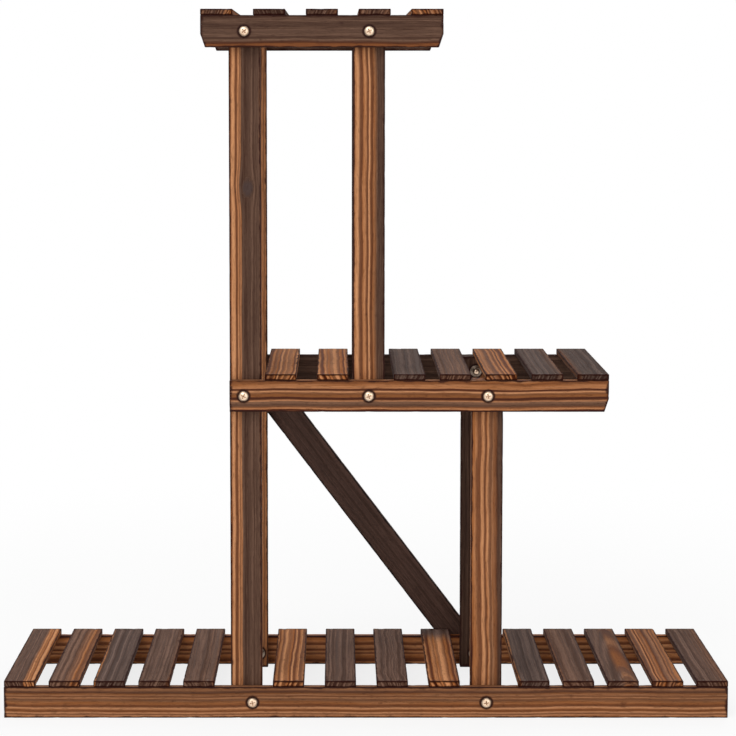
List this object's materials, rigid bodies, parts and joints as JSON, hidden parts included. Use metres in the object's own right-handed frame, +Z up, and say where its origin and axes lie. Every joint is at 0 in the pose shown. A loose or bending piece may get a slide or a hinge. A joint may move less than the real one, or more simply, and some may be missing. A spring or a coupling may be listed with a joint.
{
  "type": "tiered plant stand",
  "caption": "Open wooden plant stand with slatted shelves stepping up to one side, bolted rails and legs, and a diagonal brace across the back.",
  "frame": {"origin": "on the floor, at the middle of the overall box", "axes": "+Z up, -Y towards the front, +X to the right as seen from the front, with the tall side at -X and the brace at the back, +Y"},
  "size_m": [0.83, 0.267, 0.808],
  "materials": {
    "slat_wood": "carbonised softwood, matte",
    "rail_wood": "carbonised softwood, matte",
    "leg_wood": "carbonised softwood, matte",
    "brace_wood": "carbonised softwood, matte",
    "bolt_steel": "zinc plated",
    "nut_steel": "zinc plated",
    "brad_steel": "bright drawn"
  },
  "bodies": {
    "root": {"base_brads": "brad_steel", "base_rail_front": "rail_wood", "base_rail_rear": "rail_wood", "base_slat_01": "slat_wood", "base_slat_02": "slat_wood", "base_slat_03": "slat_wood", "base_slat_04": "slat_wood", "base_slat_05": "slat_wood", "base_slat_06": "slat_wood", "base_slat_07": "slat_wood", "base_slat_08": "slat_wood", "base_slat_09": "slat_wood", "base_slat_10": "slat_wood", "base_slat_11": "slat_wood", "base_slat_12": "slat_wood", "base_slat_13": "slat_wood", "base_slat_14": "slat_wood", "brace_bolts": "bolt_steel", "centre_leg_front": "leg_wood", "centre_leg_rear": "leg_wood", "front_bolts": "bolt_steel", "front_nuts": "nut_steel", "left_leg_front": "leg_wood", "left_leg_rear": "leg_wood", "mid_brads": "brad_steel", "mid_rail_front": "rail_wood", "mid_rail_rear": "rail_wood", "mid_slat_01": "slat_wood", "mid_slat_02": "slat_wood", "mid_slat_03": "slat_wood", "mid_slat_04": "slat_wood", "mid_slat_05": "slat_wood", "mid_slat_06": "slat_wood", "mid_slat_07": "slat_wood", "rear_bolts": "bolt_steel", "rear_brace": "brace_wood", "rear_nuts": "nut_steel", "right_leg_front": "leg_wood", "right_leg_rear": "leg_wood", "top_brads": "brad_steel", "top_rail_front": "rail_wood", "top_rail_rear": "rail_wood", "top_slat_01": "slat_wood", "top_slat_02": "slat_wood", "top_slat_03": "slat_wood", "top_slat_04": "slat_wood", "top_slat_05": "slat_wood"}
  },
  "joints": []
}
